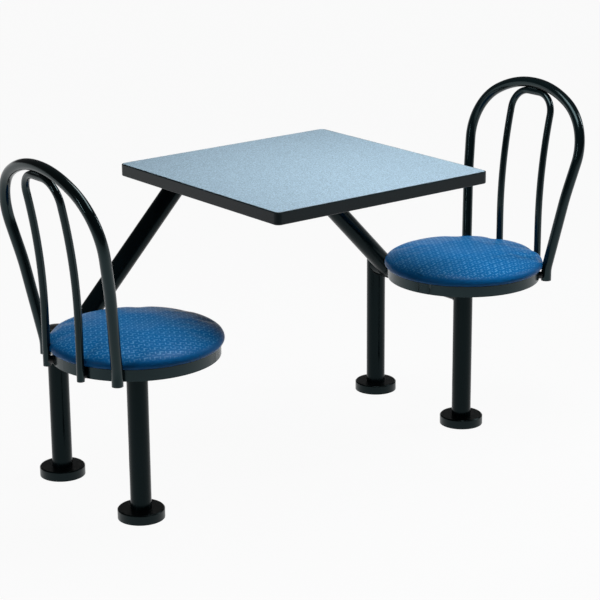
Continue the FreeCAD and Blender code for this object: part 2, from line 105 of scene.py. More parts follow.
def seen_directly(tree, ray):
    """One where a surface is looked at, also in a mirror or through glass, and else zero."""
    seen = add_node(tree, "ShaderNodeMath", {"operation": "MAXIMUM"},
                    {0: ray.outputs["Is Camera Ray"], 1: ray.outputs["Is Glossy Ray"]})
    return add_node(tree, "ShaderNodeMath", {"operation": "MAXIMUM"},
                    {0: seen.outputs[0], 1: ray.outputs["Is Transmission Ray"]}).outputs[0]


# %% Which way the backdrop is
# The sweep of white paper stands behind the table, and the room in front of it is dark.
behind = Vector((0.61, 0.79, 0.0))


def share_behind(tree, vector, near, far):
    """Zero towards the dark room and one towards the paper, changing from near to far."""
    along = add_node(tree, "ShaderNodeVectorMath", {"operation": "DOT_PRODUCT"},
                     {0: vector, 1: behind})
    return add_node(tree, "ShaderNodeMapRange", {"interpolation_type": "SMOOTHSTEP"},
                    {"Value": along.outputs["Value"], "From Min": near, "From Max": far}).outputs[0]


# %% The world: an even sky for light, and the paper and the room where it is seen
even_light = 0.045
room = 0.08
studio = bpy.data.worlds.new("soft_studio")
bpy.context.scene.world = studio
studio.use_nodes = True
sky = studio.node_tree
sky.nodes.clear()
direction = add_node(sky, "ShaderNodeTexCoord").outputs["Generated"]
height = add_node(sky, "ShaderNodeSeparateXYZ", sockets={"Vector": direction}).outputs["Z"]
ray = add_node(sky, "ShaderNodeLightPath")
paper_top = add_node(sky, "ShaderNodeMapRange", {"interpolation_type": "SMOOTHSTEP"},
                     {"Value": height, "From Min": 0.02, "From Max": 0.18,
                      "To Min": 1.0, "To Max": 0.0})
paper_seen = add_node(sky, "ShaderNodeMath", {"operation": "MULTIPLY"},
                      {0: paper_top.outputs[0], 1: share_behind(sky, direction, -0.1, 0.6)})
mirrored = add_node(sky, "ShaderNodeMath", {"operation": "MAXIMUM"},
                    {0: paper_seen.outputs[0], 1: room})
horizon = add_node(sky, "ShaderNodeMath", {"operation": "MAXIMUM"},
                   {0: mirrored.outputs[0], 1: ray.outputs["Is Camera Ray"]})
lighting = add_node(sky, "ShaderNodeBackground", sockets={"Color": colour("#eef3fb"),
                                                          "Strength": even_light})
backdrop = add_node(sky, "ShaderNodeBackground", sockets={"Color": colour("#ffffff"),
                                                          "Strength": horizon.outputs[0]})
both = add_node(sky, "ShaderNodeMixShader", sockets={0: seen_directly(sky, ray),
                                                     1: lighting.outputs[0],
                                                     2: backdrop.outputs[0]})
add_node(sky, "ShaderNodeOutputWorld", sockets={"Surface": both.outputs[0]})

# %% The floor: white, with a little of its real shading, so that it keeps the shadow
# It lies a hair below the feet, so that the two never share a surface. Where the tubes mirror it,
# it fades towards the dark room. It throws back less light than white paper would, because the
# undersides of real seats are dark.
shadow_kept = 0.05
hair = 0.3 * MM
bpy.ops.mesh.primitive_plane_add(size=40, location=(0, 0, -hair))
floor = bpy.context.object
floor.name = "studio_floor"
floor_paper = bpy.data.materials.new("seamless_paper")
floor_paper.use_nodes = True
paper = floor_paper.node_tree
paper.nodes.clear()
ray = add_node(paper, "ShaderNodeLightPath")
spot = add_node(paper, "ShaderNodeTexCoord").outputs["Object"]
far_side = add_node(paper, "ShaderNodeMapRange",
                    sockets={"Value": share_behind(paper, spot, -4.0, -0.6),
                             "To Min": 0.15, "To Max": 1.0})
brightness = add_node(paper, "ShaderNodeMath", {"operation": "MAXIMUM"},
                      {0: far_side.outputs[0], 1: ray.outputs["Is Camera Ray"]})
whiten = add_node(paper, "ShaderNodeMath", {"operation": "MULTIPLY"},
                  {0: seen_directly(paper, ray), 1: 1 - shadow_kept})
bounce = add_node(paper, "ShaderNodeMix", {"data_type": "RGBA"},
                  {"Factor": ray.outputs["Is Diffuse Ray"], 6: colour("#f2f5f7"),
                   7: colour("#8d9092")})
matt = add_node(paper, "ShaderNodeBsdfDiffuse", sockets={"Color": bounce.outputs[2]})
white = add_node(paper, "ShaderNodeEmission", sockets={"Color": colour("#ffffff"),
                                                       "Strength": brightness.outputs[0]})
sheet = add_node(paper, "ShaderNodeMixShader", sockets={0: whiten.outputs[0], 1: matt.outputs[0],
                                                        2: white.outputs[0]})
add_node(paper, "ShaderNodeOutputMaterial", sockets={"Surface": sheet.outputs[0]})
floor.data.materials.append(floor_paper)


# %% Lamps
def softbox(name, place, target, width, height, watts, tint):
    """A rectangular studio lamp at a place, turned to face a target.

    A lamp that looks straight down needs no turn, and keeps its width along X."""
    view = Vector(target) - Vector(place)
    straight_down = view.xy.length == 0
    aim = (Quaternion() if straight_down else view.to_track_quat("-Z", "Y")).to_euler()
    bpy.ops.object.light_add(type="AREA", location=place, rotation=aim)
    lamp = bpy.context.object
    lamp.name = name
    lamp.data.shape = "RECTANGLE"
    lamp.data.size, lamp.data.size_y = width, height
    lamp.data.energy = watts
    lamp.data.color = colour(tint)[:3]
    return lamp


softbox("top_softbox", (0.11, -0.30, 1.74), (0.11, -0.30, 0.7), 0.64, 1.10, 13.4, "#ffffff")
softbox("left_softbox", (-3.10, -0.20, 1.35), (0, 0, 0.6), 0.10, 0.90, 5, "#f6fbff")
softbox("right_softbox", (2.30, -0.90, 1.75), (0.4, 0, 0.6), 0.12, 0.80, 8, "#f6fbff")
print("three softboxes, a white floor and a white backdrop")

# %% [markdown]
# ## Finishes
# Each finish starts from what the real one is. A new material always holds a shader and an output,
# so those two lines are shared, and the rest of each finish is its own. Patterns read Object
# coordinates, which are metres here, so a pattern's scale is one over the size of its grain.

# %% The start of a material, and how it is put on
def start_material(name, **look):
    """A new material with a shader whose constant sockets are given by name."""
    made = bpy.data.materials.new(name)
    made.use_nodes = True
    tree = made.node_tree
    tree.nodes.clear()
    constants = {key.replace("_", " "): value for key, value in look.items()}
    shader = add_node(tree, "ShaderNodeBsdfPrincipled", sockets=constants)
    add_node(tree, "ShaderNodeOutputMaterial", sockets={"Surface": shader.outputs[0]})
    place = add_node(tree, "ShaderNodeTexCoord").outputs["Object"]
    return made, tree, shader, place


def dress(names, material):
    """Put a finish on CAD nodes, each named with or without its side."""
    count = 0
    for name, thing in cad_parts.items():
        plain = name.removeprefix("left_").removeprefix("right_")
        if plain in names or name in names:
            for slot in thing.material_slots:
                slot.material = material
            count += 1
    print(material.name, "on", count, "CAD nodes")


# %% [markdown]
# ### Black powder coat
# The posts, arms and hoops are steel tube, sprayed with dry polyester powder and baked. The paint
# flows out to a semi-gloss skin with faint orange peel, waves 2 or 3 mm across. They are drawn here
# as a bump, coarser than real on the frame, at 6 mm, and much coarser on the hoops, at 30 mm. Slow
# changes of roughness go with them, which is how light breaks on a long tube. Paint also rounds
# every sharp edge a little, so a bevel in the shader gives edges their thin line of light.

# %% Powder coat
def powder_coat(name, base, edge, roughness, specular, peel_mm, peel_height_mm):
    """Baked paint: near black, a little bluer where it is thin, with orange peel."""
    made, tree, shader, place = start_material(name, IOR=1.5, Specular_IOR_Level=specular,
                                               Specular_Tint=colour("#bfe6ec"))
    cloud = add_node(tree, "ShaderNodeTexNoise", sockets={"Vector": place, "Scale": 1 / (60 * MM),
                                                          "Detail": 3.0})
    tone = add_node(tree, "ShaderNodeMix", {"data_type": "RGBA"},
                    {"Factor": cloud.outputs["Fac"], 6: colour(base), 7: colour(edge)})
    tree.links.new(tone.outputs[2], shader.inputs["Base Color"])
    gloss = add_node(tree, "ShaderNodeMapRange",
                     sockets={"Value": cloud.outputs["Fac"], "From Min": 0.3, "From Max": 0.7,
                              "To Min": roughness - 0.05, "To Max": roughness + 0.06})
    tree.links.new(gloss.outputs[0], shader.inputs["Roughness"])
    peel = add_node(tree, "ShaderNodeTexNoise", sockets={"Vector": place, "Detail": 2.0,
                                                         "Scale": 1 / (peel_mm * MM)})
    rounded = add_node(tree, "ShaderNodeBevel", {"samples": 4}, {"Radius": 0.9 * MM})
    skin = add_node(tree, "ShaderNodeBump", sockets={"Height": peel.outputs["Fac"], "Strength": 0.5,
                                                     "Distance": peel_height_mm * MM,
                                                     "Normal": rounded.outputs[0]})
    tree.links.new(skin.outputs[0], shader.inputs["Normal"])
    return made


frame_paint = powder_coat("black_powder_coat", "#0b1517", "#121f23", 0.18, 0.15, 6, 0.02)
hoop_paint = powder_coat("gloss_black_powder_coat", "#040d0f", "#0a181b", 0.13, 0.45, 30, 0.006)
band_paint = powder_coat("charcoal_powder_coat", "#0f191d", "#16232a", 0.22, 0.50, 3, 0.03)
cover_paint = powder_coat("pressed_cover_powder_coat", "#06090a", "#0c1113", 0.32, 0.25, 2.6,
                          0.03)
dress({"arm", "stretcher", "rear_post", "seat_post", "seat_flange", "rear_flange",
       "table_rail"}, frame_paint)
dress({"back_outer", "back_inner"}, hoop_paint)
dress({"seat_ring", "ring_joiner", "seat_spider"}, band_paint)
dress({"seat_cover", "rear_cover"}, cover_paint)

# %% [markdown]
# ### Laminate top
# High-pressure laminate in a pale grey blue. Its printed sheet has a fine random mottle, and the
# press leaves a suede finish, so it is neither flat nor glossy. A noise gives the mottle, at about
# 3 mm, coarser than real so that it shows, and small cells give the darker flecks.

# %% Laminate
laminate, tree, shader, place = start_material("grey_blue_laminate", IOR=1.5, Roughness=0.42,
                                               Specular_IOR_Level=0.3)
mottle = add_node(tree, "ShaderNodeTexNoise", sockets={"Vector": place, "Scale": 1 / (3.2 * MM),
                                                       "Detail": 4.0, "Roughness": 0.8})
shade = add_node(tree, "ShaderNodeMapRange",
                 sockets={"Value": mottle.outputs["Fac"], "From Min": 0.42, "From Max": 0.58})
ground = add_node(tree, "ShaderNodeMix", {"data_type": "RGBA"},
                  {"Factor": shade.outputs[0], 6: colour("#90aec0"), 7: colour("#c4dff2")})
cells = add_node(tree, "ShaderNodeTexVoronoi", sockets={"Vector": place, "Scale": 1 / (4.0 * MM)})
fleck = add_node(tree, "ShaderNodeMapRange",
                 sockets={"Value": cells.outputs["Distance"], "From Min": 0.10, "From Max": 0.26,
                          "To Min": 0.45, "To Max": 0.0})
print_sheet = add_node(tree, "ShaderNodeMix", {"data_type": "RGBA"},
                       {"Factor": fleck.outputs[0], 6: ground.outputs[2], 7: colour("#8aa5b7")})
tree.links.new(print_sheet.outputs[2], shader.inputs["Base Color"])
suede = add_node(tree, "ShaderNodeBump", sockets={"Height": mottle.outputs["Fac"], "Strength": 0.25,
                                                  "Distance": 0.02 * MM})
tree.links.new(suede.outputs[0], shader.inputs["Normal"])
dress({"table_laminate"}, laminate)

# %% [markdown]
# ### Edge band
# A black vinyl T-moulding, hammered into a groove all round the board. Extruded vinyl is rolled
# with a fine leather grain, which makes it satin and a shade paler than the paint beside it.

# %% Vinyl edge
edge_vinyl, tree, shader, place = start_material("black_vinyl_edge", IOR=1.53, Roughness=0.36,
                                                 Specular_IOR_Level=0.22)
grain = add_node(tree, "ShaderNodeTexVoronoi", {"feature": "DISTANCE_TO_EDGE"},
                 {"Vector": place, "Scale": 1 / (1.4 * MM)})
tone = add_node(tree, "ShaderNodeTexNoise", sockets={"Vector": place, "Scale": 1 / (5 * MM),
                                                     "Detail": 4.0})
mixed = add_node(tree, "ShaderNodeMix", {"data_type": "RGBA"},
                 {"Factor": tone.outputs["Fac"], 6: colour("#0a1a1f"), 7: colour("#172b32")})
tree.links.new(mixed.outputs[2], shader.inputs["Base Color"])
rolled = add_node(tree, "ShaderNodeBump", sockets={"Height": grain.outputs["Distance"],
                                                   "Strength": 0.4, "Distance": 0.08 * MM})
tree.links.new(rolled.outputs[0], shader.inputs["Normal"])
dress({"table_edge_band"}, edge_vinyl)


# %% [markdown]
# ### Boards
# The top's core is particle board, pressed from chips, and the seat board is birch plywood. The
# underside of the top has a thin phenolic backer, brown black and slightly mottled.

# %% Particle board and phenolic backer
chip_board, tree, shader, place = start_material("particle_board", Roughness=0.8)
chips = add_node(tree, "ShaderNodeTexVoronoi", sockets={"Vector": place, "Scale": 1 / (3 * MM)})
mixed = add_node(tree, "ShaderNodeMix", {"data_type": "RGBA"},
                 {"Factor": chips.outputs["Color"], 6: colour("#b08a5c"), 7: colour("#8a6640")})
tree.links.new(mixed.outputs[2], shader.inputs["Base Color"])
dress({"table_core"}, chip_board)

backer, tree, shader, place = start_material("phenolic_backer", Roughness=0.55)
fibres = add_node(tree, "ShaderNodeTexNoise", sockets={"Vector": place, "Scale": 1 / (14 * MM),
                                                       "Detail": 6.0, "Roughness": 0.65})
mixed = add_node(tree, "ShaderNodeMix", {"data_type": "RGBA"},
                 {"Factor": fibres.outputs["Fac"], 6: colour("#241f1b"), 7: colour("#3a332c")})
tree.links.new(mixed.outputs[2], shader.inputs["Base Color"])
dress({"table_backer"}, backer)

# %% Birch plywood
plywood, tree, shader, place = start_material("birch_plywood", Roughness=0.6)
lengthways = add_node(tree, "ShaderNodeMapping",
                      sockets={"Vector": place, "Scale": (1.0, 9.0, 1.0)})
wood = add_node(tree, "ShaderNodeTexNoise", sockets={"Vector": lengthways.outputs[0],
                                                     "Scale": 1 / (45 * MM), "Detail": 6.0,
                                                     "Distortion": 0.6})
face = add_node(tree, "ShaderNodeMix", {"data_type": "RGBA"},
                {"Factor": wood.outputs["Fac"], 6: colour("#c9a877"), 7: colour("#a98452")})
height = add_node(tree, "ShaderNodeSeparateXYZ", sockets={"Vector": place})
ply = add_node(tree, "ShaderNodeMath", {"operation": "PINGPONG"}, {0: height.outputs["Z"],
                                                                   1: 1.4 * MM})
dark_ply = add_node(tree, "ShaderNodeMath", {"operation": "GREATER_THAN"},
                    {0: ply.outputs[0], 1: 0.7 * MM})
normal = add_node(tree, "ShaderNodeNewGeometry")
upright = add_node(tree, "ShaderNodeSeparateXYZ",
                   sockets={"Vector": normal.outputs["True Normal"]})
flat = add_node(tree, "ShaderNodeMath", {"operation": "ABSOLUTE"}, {0: upright.outputs["Z"]})
edge = add_node(tree, "ShaderNodeMath", {"operation": "LESS_THAN"}, {0: flat.outputs[0], 1: 0.5})
layer = add_node(tree, "ShaderNodeMath", {"operation": "MULTIPLY"},
                 {0: dark_ply.outputs[0], 1: edge.outputs[0]})
mixed = add_node(tree, "ShaderNodeMix", {"data_type": "RGBA"},
                 {"Factor": layer.outputs[0], 6: face.outputs[2], 7: colour("#7d5a35")})
tree.links.new(mixed.outputs[2], shader.inputs["Base Color"])
dress({"seat_board"}, plywood)


# %% [markdown]
# ### Bare metals and small plastics
# Inside the swivel nothing is painted: the shaft is ground, the housing turned, the washer brass,
# the bushes nylon. Turned metal shows fine rings round its axis, so the noise is squeezed along Z.
# Screws are zinc plated, which is bright with a faint blue and yellow cast.

# %% Turned metals
def turned_metal(name, base, other, roughness, ring_mm):
    """Bare metal off a lathe, with fine rings and a little change of tone."""
    made, tree, shader, place = start_material(name, Metallic=1.0)
    squeezed = add_node(tree, "ShaderNodeMapping", sockets={"Vector": place, "Scale": (1, 1, 30)})
    rings = add_node(tree, "ShaderNodeTexNoise", sockets={"Vector": squeezed.outputs[0],
                                                          "Scale": 1 / (30 * ring_mm * MM)})
    tone = add_node(tree, "ShaderNodeMix", {"data_type": "RGBA"},
                    {"Factor": rings.outputs["Fac"], 6: colour(base), 7: colour(other)})
    tree.links.new(tone.outputs[2], shader.inputs["Base Color"])
    gloss = add_node(tree, "ShaderNodeMapRange",
                     sockets={"Value": rings.outputs["Fac"], "To Min": roughness - 0.08,
                              "To Max": roughness + 0.08})
    tree.links.new(gloss.outputs[0], shader.inputs["Roughness"])
    return made


dress({"spindle"}, turned_metal("ground_shaft_steel", "#b9bbbd", "#a7aaad", 0.24, 0.3))
dress({"swivel_housing"}, turned_metal("turned_steel", "#8f9294", "#7c7f82", 0.38, 0.5))
dress({"spindle_clip"}, turned_metal("phosphated_spring_steel", "#34363a", "#26282b", 0.5, 0.5))
dress({"thrust_washer"}, turned_metal("turned_brass", "#c9a45a", "#b38c44", 0.3, 0.4))
zinc = turned_metal("bright_zinc_plate", "#c5c8c4", "#b3b4a6", 0.32, 0.4)


# %% Moulded plastics
def moulded(name, base, other, roughness, grain_mm):
    """Moulded plastic with the fine spark-eroded texture of its tool."""
    made, tree, shader, place = start_material(name, IOR=1.5, Roughness=roughness)
    spark = add_node(tree, "ShaderNodeTexNoise", sockets={"Vector": place, "Detail": 3.0,
                                                          "Scale": 1 / (grain_mm * MM)})
    tone = add_node(tree, "ShaderNodeMix", {"data_type": "RGBA"},
                    {"Factor": spark.outputs["Fac"], 6: colour(base), 7: colour(other)})
    tree.links.new(tone.outputs[2], shader.inputs["Base Color"])
    skin = add_node(tree, "ShaderNodeBump", sockets={"Height": spark.outputs["Fac"],
                                                     "Strength": 0.4, "Distance": 0.05 * MM})
    tree.links.new(skin.outputs[0], shader.inputs["Normal"])
    return made


black_plastic = moulded("black_nylon", "#101315", "#181c1e", 0.44, 0.9)
dress({"stretcher_cap", "leg_spacers", "leg_plugs"}, black_plastic)
dress({"upper_bush", "lower_bush"}, moulded("natural_nylon", "#e4dfd0", "#d6d0be", 0.4, 0.9))

# %% [markdown]
# ### Seat vinyl
# Contract upholstery vinyl: a blue skin on a knitted back, embossed with small broken steps that
# catch the light, and a fine leather grain between them. The light that the steps catch is painted
# into their colour as a paler blue, a painted highlight. The emboss is drawn as a few soft strokes
# in a repeating cell, and each row of cells is shifted, so that no straight lines run through it.
# Each stroke is a box distance, and the nearest of them wins, so that one smooth ramp raises them
# all. Where the vinyl is stretched over the edge, the emboss is pulled flat and fades, and so does
# its painted highlight, which is kept to the faces that look up. The pattern follows the pad's own
# UV map, which is the vinyl laid flat and pulled over the edge, in metres.

# %% One stroke of the emboss
repeat_mm = (23.0, 19.0)           # one cell of the emboss
row_shift = 0.37                   # of a cell, from each row to the next


def stroke(tree, across, along, centre, half):
    """Distance outside a small rectangle in the cell, below zero inside it."""
    offsets = []
    for value, middle, reach in zip((across, along), centre, half):
        moved = add_node(tree, "ShaderNodeMath", {"operation": "SUBTRACT"}, {0: value, 1: middle})
        size = add_node(tree, "ShaderNodeMath", {"operation": "ABSOLUTE"}, {0: moved.outputs[0]})
        offsets.append(add_node(tree, "ShaderNodeMath", {"operation": "SUBTRACT"},
                                {0: size.outputs[0], 1: reach}).outputs[0])
    return add_node(tree, "ShaderNodeMath", {"operation": "MAXIMUM"},
                    {0: offsets[0], 1: offsets[1]}).outputs[0]


# %% Embossed vinyl
vinyl, tree, shader, place = start_material("embossed_blue_vinyl", IOR=1.5,
                                            Specular_IOR_Level=0.14)
skin_map = add_node(tree, "ShaderNodeUVMap", {"uv_map": "vinyl_skin"})
turned_map = add_node(tree, "ShaderNodeMapping", {"vector_type": "TEXTURE"},
                      {"Vector": skin_map.outputs[0], "Rotation": (0, 0, math.radians(3)),
                       "Scale": (repeat_mm[0] * MM, repeat_mm[1] * MM, 1)})
split = add_node(tree, "ShaderNodeSeparateXYZ", sockets={"Vector": turned_map.outputs[0]})
row = add_node(tree, "ShaderNodeMath", {"operation": "FLOOR"}, {0: split.outputs["Y"]})
shifted = add_node(tree, "ShaderNodeMath", {"operation": "MULTIPLY_ADD"},
                   {0: row.outputs[0], 1: row_shift, 2: split.outputs["X"]})
across = add_node(tree, "ShaderNodeMath", {"operation": "FRACT"},
                  {0: shifted.outputs[0]}).outputs[0]
along = add_node(tree, "ShaderNodeMath", {"operation": "FRACT"},
                 {0: split.outputs["Y"]}).outputs[0]
strokes = [((0.25, 0.20), (0.20, 0.065)), ((0.42, 0.43), (0.055, 0.25)),
           ((0.57, 0.66), (0.17, 0.060)), ((0.85, 0.34), (0.050, 0.22)),
           ((0.12, 0.80), (0.10, 0.055))]
nearest = 1.0
for centre, half in strokes:
    nearest = add_node(tree, "ShaderNodeMath", {"operation": "MINIMUM"},
                       {0: nearest, 1: stroke(tree, across, along, centre, half)}).outputs[0]
raised = add_node(tree, "ShaderNodeMapRange", {"interpolation_type": "SMOOTHSTEP"},
                  {"Value": nearest, "From Min": 0.05, "From Max": -0.05})
worn = add_node(tree, "ShaderNodeTexNoise", sockets={"Vector": skin_map.outputs[0], "Detail": 3.0,
                                                     "Scale": 1 / (9 * MM)})
patchy = add_node(tree, "ShaderNodeMapRange", sockets={"Value": worn.outputs["Fac"],
                                                       "From Min": 0.35, "From Max": 0.65,
                                                       "To Min": 0.4, "To Max": 1.0})
# Faces that look up keep the emboss and its painted highlight, and the rolled sides lose both.
facing = add_node(tree, "ShaderNodeSeparateXYZ",
                  sockets={"Vector": add_node(tree, "ShaderNodeNewGeometry").outputs["Normal"]})
stretched = add_node(tree, "ShaderNodeMapRange", sockets={"Value": facing.outputs["Z"],
                                                          "From Min": 0.55, "From Max": 0.92})
kept = add_node(tree, "ShaderNodeMath", {"operation": "MULTIPLY"},
                {0: patchy.outputs[0], 1: stretched.outputs[0]})
emboss_and_painted_highlight = add_node(tree, "ShaderNodeMath", {"operation": "MULTIPLY"},
                 {0: raised.outputs[0], 1: kept.outputs[0]})
dye = add_node(tree, "ShaderNodeMix", {"data_type": "RGBA"},
               {"Factor": worn.outputs["Fac"], 6: colour("#0c72bf"), 7: colour("#1683cf")})
# The raised strokes take a paler blue: a painted highlight, the light that they catch.
mixed = add_node(tree, "ShaderNodeMix", {"data_type": "RGBA"},
                 {"Factor": emboss_and_painted_highlight.outputs[0], 6: dye.outputs[2], 7: colour("#74c4f6")})
tree.links.new(mixed.outputs[2], shader.inputs["Base Color"])
gloss = add_node(tree, "ShaderNodeMapRange", sockets={"Value": emboss_and_painted_highlight.outputs[0],
                                                      "To Min": 0.42, "To Max": 0.30})
tree.links.new(gloss.outputs[0], shader.inputs["Roughness"])
pores = add_node(tree, "ShaderNodeTexVoronoi", {"feature": "DISTANCE_TO_EDGE"},
                 {"Vector": skin_map.outputs[0], "Scale": 1 / (1.3 * MM)})
leather = add_node(tree, "ShaderNodeBump", sockets={"Height": pores.outputs["Distance"],
                                                    "Strength": 0.35, "Distance": 0.06 * MM})
emboss = add_node(tree, "ShaderNodeBump", sockets={"Height": emboss_and_painted_highlight.outputs[0], "Strength": 0.8,
                                                   "Distance": 0.30 * MM,
                                                   "Normal": leather.outputs[0]})
tree.links.new(emboss.outputs[0], shader.inputs["Normal"])
print("the emboss repeats every", *repeat_mm, "mm")
dress({"seat_pad"}, vinyl)

# %% [markdown]
# ## Making pieces
# Operators act on whatever is selected, so each piece starts with nothing selected. A modifier is
# applied as soon as it is added, so that the next step finds a plain mesh.

# %% Selecting, and finishing with modifiers
def only(thing):
    """Select one object and nothing else."""
    bpy.ops.object.select_all(action="DESELECT")
    thing.select_set(True)
    bpy.context.view_layer.objects.active = thing


def finish_with(thing, kind, **settings):
    """Add a modifier with its settings and apply it."""
    only(thing)
    modifier = thing.modifiers.new(kind.lower(), kind)
    for name, value in settings.items():
        setattr(modifier, name, value)
    bpy.ops.object.modifier_apply(modifier=modifier.name)


def lathe(profile, centre, points):
    """Turn (radius, height) pairs about a vertical line, ring by ring, and close both ends."""
    bpy.ops.object.select_all(action="DESELECT")
    bpy.ops.mesh.primitive_circle_add(vertices=points, radius=profile[0][0], fill_type="TRIFAN",
                                      location=centre + Vector((0, 0, profile[0][1])))
    bpy.ops.object.transform_apply(location=True, rotation=False, scale=False)
    bpy.ops.object.mode_set(mode="EDIT")
    bpy.ops.mesh.select_mode(type="EDGE")
    bpy.ops.mesh.select_all(action="SELECT")
    bpy.ops.mesh.region_to_loop()
    for (r, z), (next_r, next_z) in zip(profile, profile[1:]):
        bpy.ops.mesh.extrude_region_move(TRANSFORM_OT_translate={"value": (0, 0, next_z - z)})
        bpy.ops.transform.resize(value=(next_r / r, next_r / r, 1), center_override=centre)
    bpy.ops.mesh.extrude_region_move()
    bpy.ops.mesh.merge(type="CENTER")
    bpy.ops.mesh.select_all(action="SELECT")
    bpy.ops.mesh.remove_doubles(threshold=1e-6)
    bpy.ops.mesh.normals_make_consistent(inside=False)
    bpy.ops.object.mode_set(mode="OBJECT")
    return bpy.context.object


def settle(thing, name, body, material, smooth_deg=40):
    """Name a piece, put its place in its mesh, shade it, dress it and let it ride."""
    only(thing)
    thing.name = name
    bpy.ops.object.transform_apply(location=True, rotation=True, scale=True)
    bpy.ops.object.shade_smooth_by_angle(angle=math.radians(smooth_deg))
    thing.data.materials.clear()
    thing.data.materials.append(material)
    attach(thing, body)
    print(name, len(thing.data.polygons), "faces")
    return thing


# %% [markdown]
# ## Seat pads
# The real pad is a disc of foam on plywood, with vinyl pulled over it and stapled below, so its
# crown is low, its edge is rolled, and its foot is drawn in tight. A lathe profile is the quickest
# way to such a form: a ring of edges is drawn out again and again along the profile. Cloth with air
# pressure then swells the skin, because a stuffed cover is never quite a surface of revolution.

# %% Where the seats are
def middle(node):
    """The centre of a node's box."""
    low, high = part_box(node)
    return (low + high) / 2


seat_axis = {side: middle(side + "_spindle").xy for side in SIDES}
ring_low, ring_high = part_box("right_seat_ring")
board_low, board_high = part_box("right_seat_board")
pad_low, pad_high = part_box("right_seat_pad")
ring_r = (ring_high.x - ring_low.x) / 2
board_r = (board_high.x - board_low.x) / 2
fuller = 3 * MM                    # the skin's belly, beyond the solid's
belly_r = (pad_high.y - pad_low.y) / 2 + fuller
print("ring", round(ring_r, 4), "board", round(board_r, 4), "pad", round(belly_r, 4))

# %% The pad's profile, as radius and height
swell = 1.2 * MM                   # what the air adds, so the profile starts inside by this much
board_clear = 0.6 * MM
roll_width = 58 * MM
edge_slope = math.radians(7)
foot_r = ring_r + 2.6 * MM
belly_z = ring_high.z + 9 * MM
dome_r = (belly_r - roll_width) / math.sin(edge_slope)
dome_centre_z = pad_high.z - swell - dome_r

profile = []
crown_steps, roll_steps, side_steps = 26, 14, 5
shoulder_r = belly_r - swell - roll_width
for i in range(1, crown_steps + 1):
    r = shoulder_r * i / crown_steps
    profile.append((r, dome_centre_z + math.sqrt(dome_r ** 2 - r ** 2)))
start = Vector(profile[-1])
falling = Vector((start.y - dome_centre_z, -start.x)).normalized()
belly = Vector((belly_r - swell, belly_z - swell / 2))
handles = [start, start + falling * roll_width * 0.58,
           belly + Vector((0, (start.y - belly.y) * 0.56)), belly]
for i in range(1, roll_steps + 1):
    t = i / roll_steps
    weights = ((1 - t) ** 3, 3 * t * (1 - t) ** 2, 3 * t ** 2 * (1 - t), t ** 3)
    profile.append(tuple(sum((w * h for w, h in zip(weights, handles)), Vector((0, 0)))))
for i in range(1, side_steps + 1):
    share = i / side_steps
    profile.append((belly.x + (foot_r - belly.x) * share ** 1.8,
                    belly.y + (pad_low.z + board_clear - belly.y) * share))
profile += [(board_r + board_clear, pad_low.z + board_clear),
            (board_r + board_clear, board_high.z + board_clear),
            (board_r * 0.55, board_high.z + board_clear)]

# %% The lathed skin
axis = Vector((*seat_axis["right"], 0))
pad = lathe(profile, axis, 200)
print("lathed pad", len(pad.data.vertices), "points")

# %% Swell the skin with air pressure
# Only the skin above the foot is free. The foot, and the recess that the board sits in, are pinned,
# as staples pin them. No point may move more than the cap.
foot_height, near_board = 3 * MM, 2 * MM
swell_frames = 20
pinned = pad.vertex_groups.new(name="stapled")
fixed = [v.index for v in pad.data.vertices
         if v.co.z < pad_low.z + foot_height
         or ((v.co.xy - axis.xy).length < board_r + near_board
             and v.co.z < board_high.z + near_board)]
pinned.add(fixed, 1.0, "REPLACE")
before = [v.co.copy() for v in pad.data.vertices]
cap = 4.0 * MM
only(pad)
cloth = pad.modifiers.new("air", "CLOTH")
cloth.settings.quality = 6
cloth.settings.mass = 0.4
cloth.settings.tension_stiffness = cloth.settings.compression_stiffness = 60
cloth.settings.shear_stiffness = 20
cloth.settings.bending_stiffness = 20
cloth.settings.vertex_group_mass = "stapled"
cloth.settings.use_pressure = True
cloth.settings.uniform_pressure_force = 3
cloth.settings.shrink_min = 0.004
cloth.settings.effector_weights.gravity = 0
for step in range(1, swell_frames + 1):
    bpy.context.scene.frame_set(step)
bpy.ops.object.modifier_apply(modifier="air")
bpy.context.scene.frame_set(1)
for v, start in zip(pad.data.vertices, before):
    move = v.co - start
    if move.length > cap:
        v.co = start + move.normalized() * cap
finish_with(pad, "SMOOTH", factor=0.5, iterations=8, vertex_group="stapled",
            invert_vertex_group=True)
lifted = max((v.co - start).length for v, start in zip(pad.data.vertices, before))
print("skin moved up to", round(lifted / MM, 2), "mm")

# %% [markdown]
# The legs of the back stand closer to the axis than the pad's widest ring, so they press into it.
# Each point that would be inside a tube is moved in towards the seat's axis until it is clear, and
# its neighbours follow less and less, as foam does beside anything that presses on it.

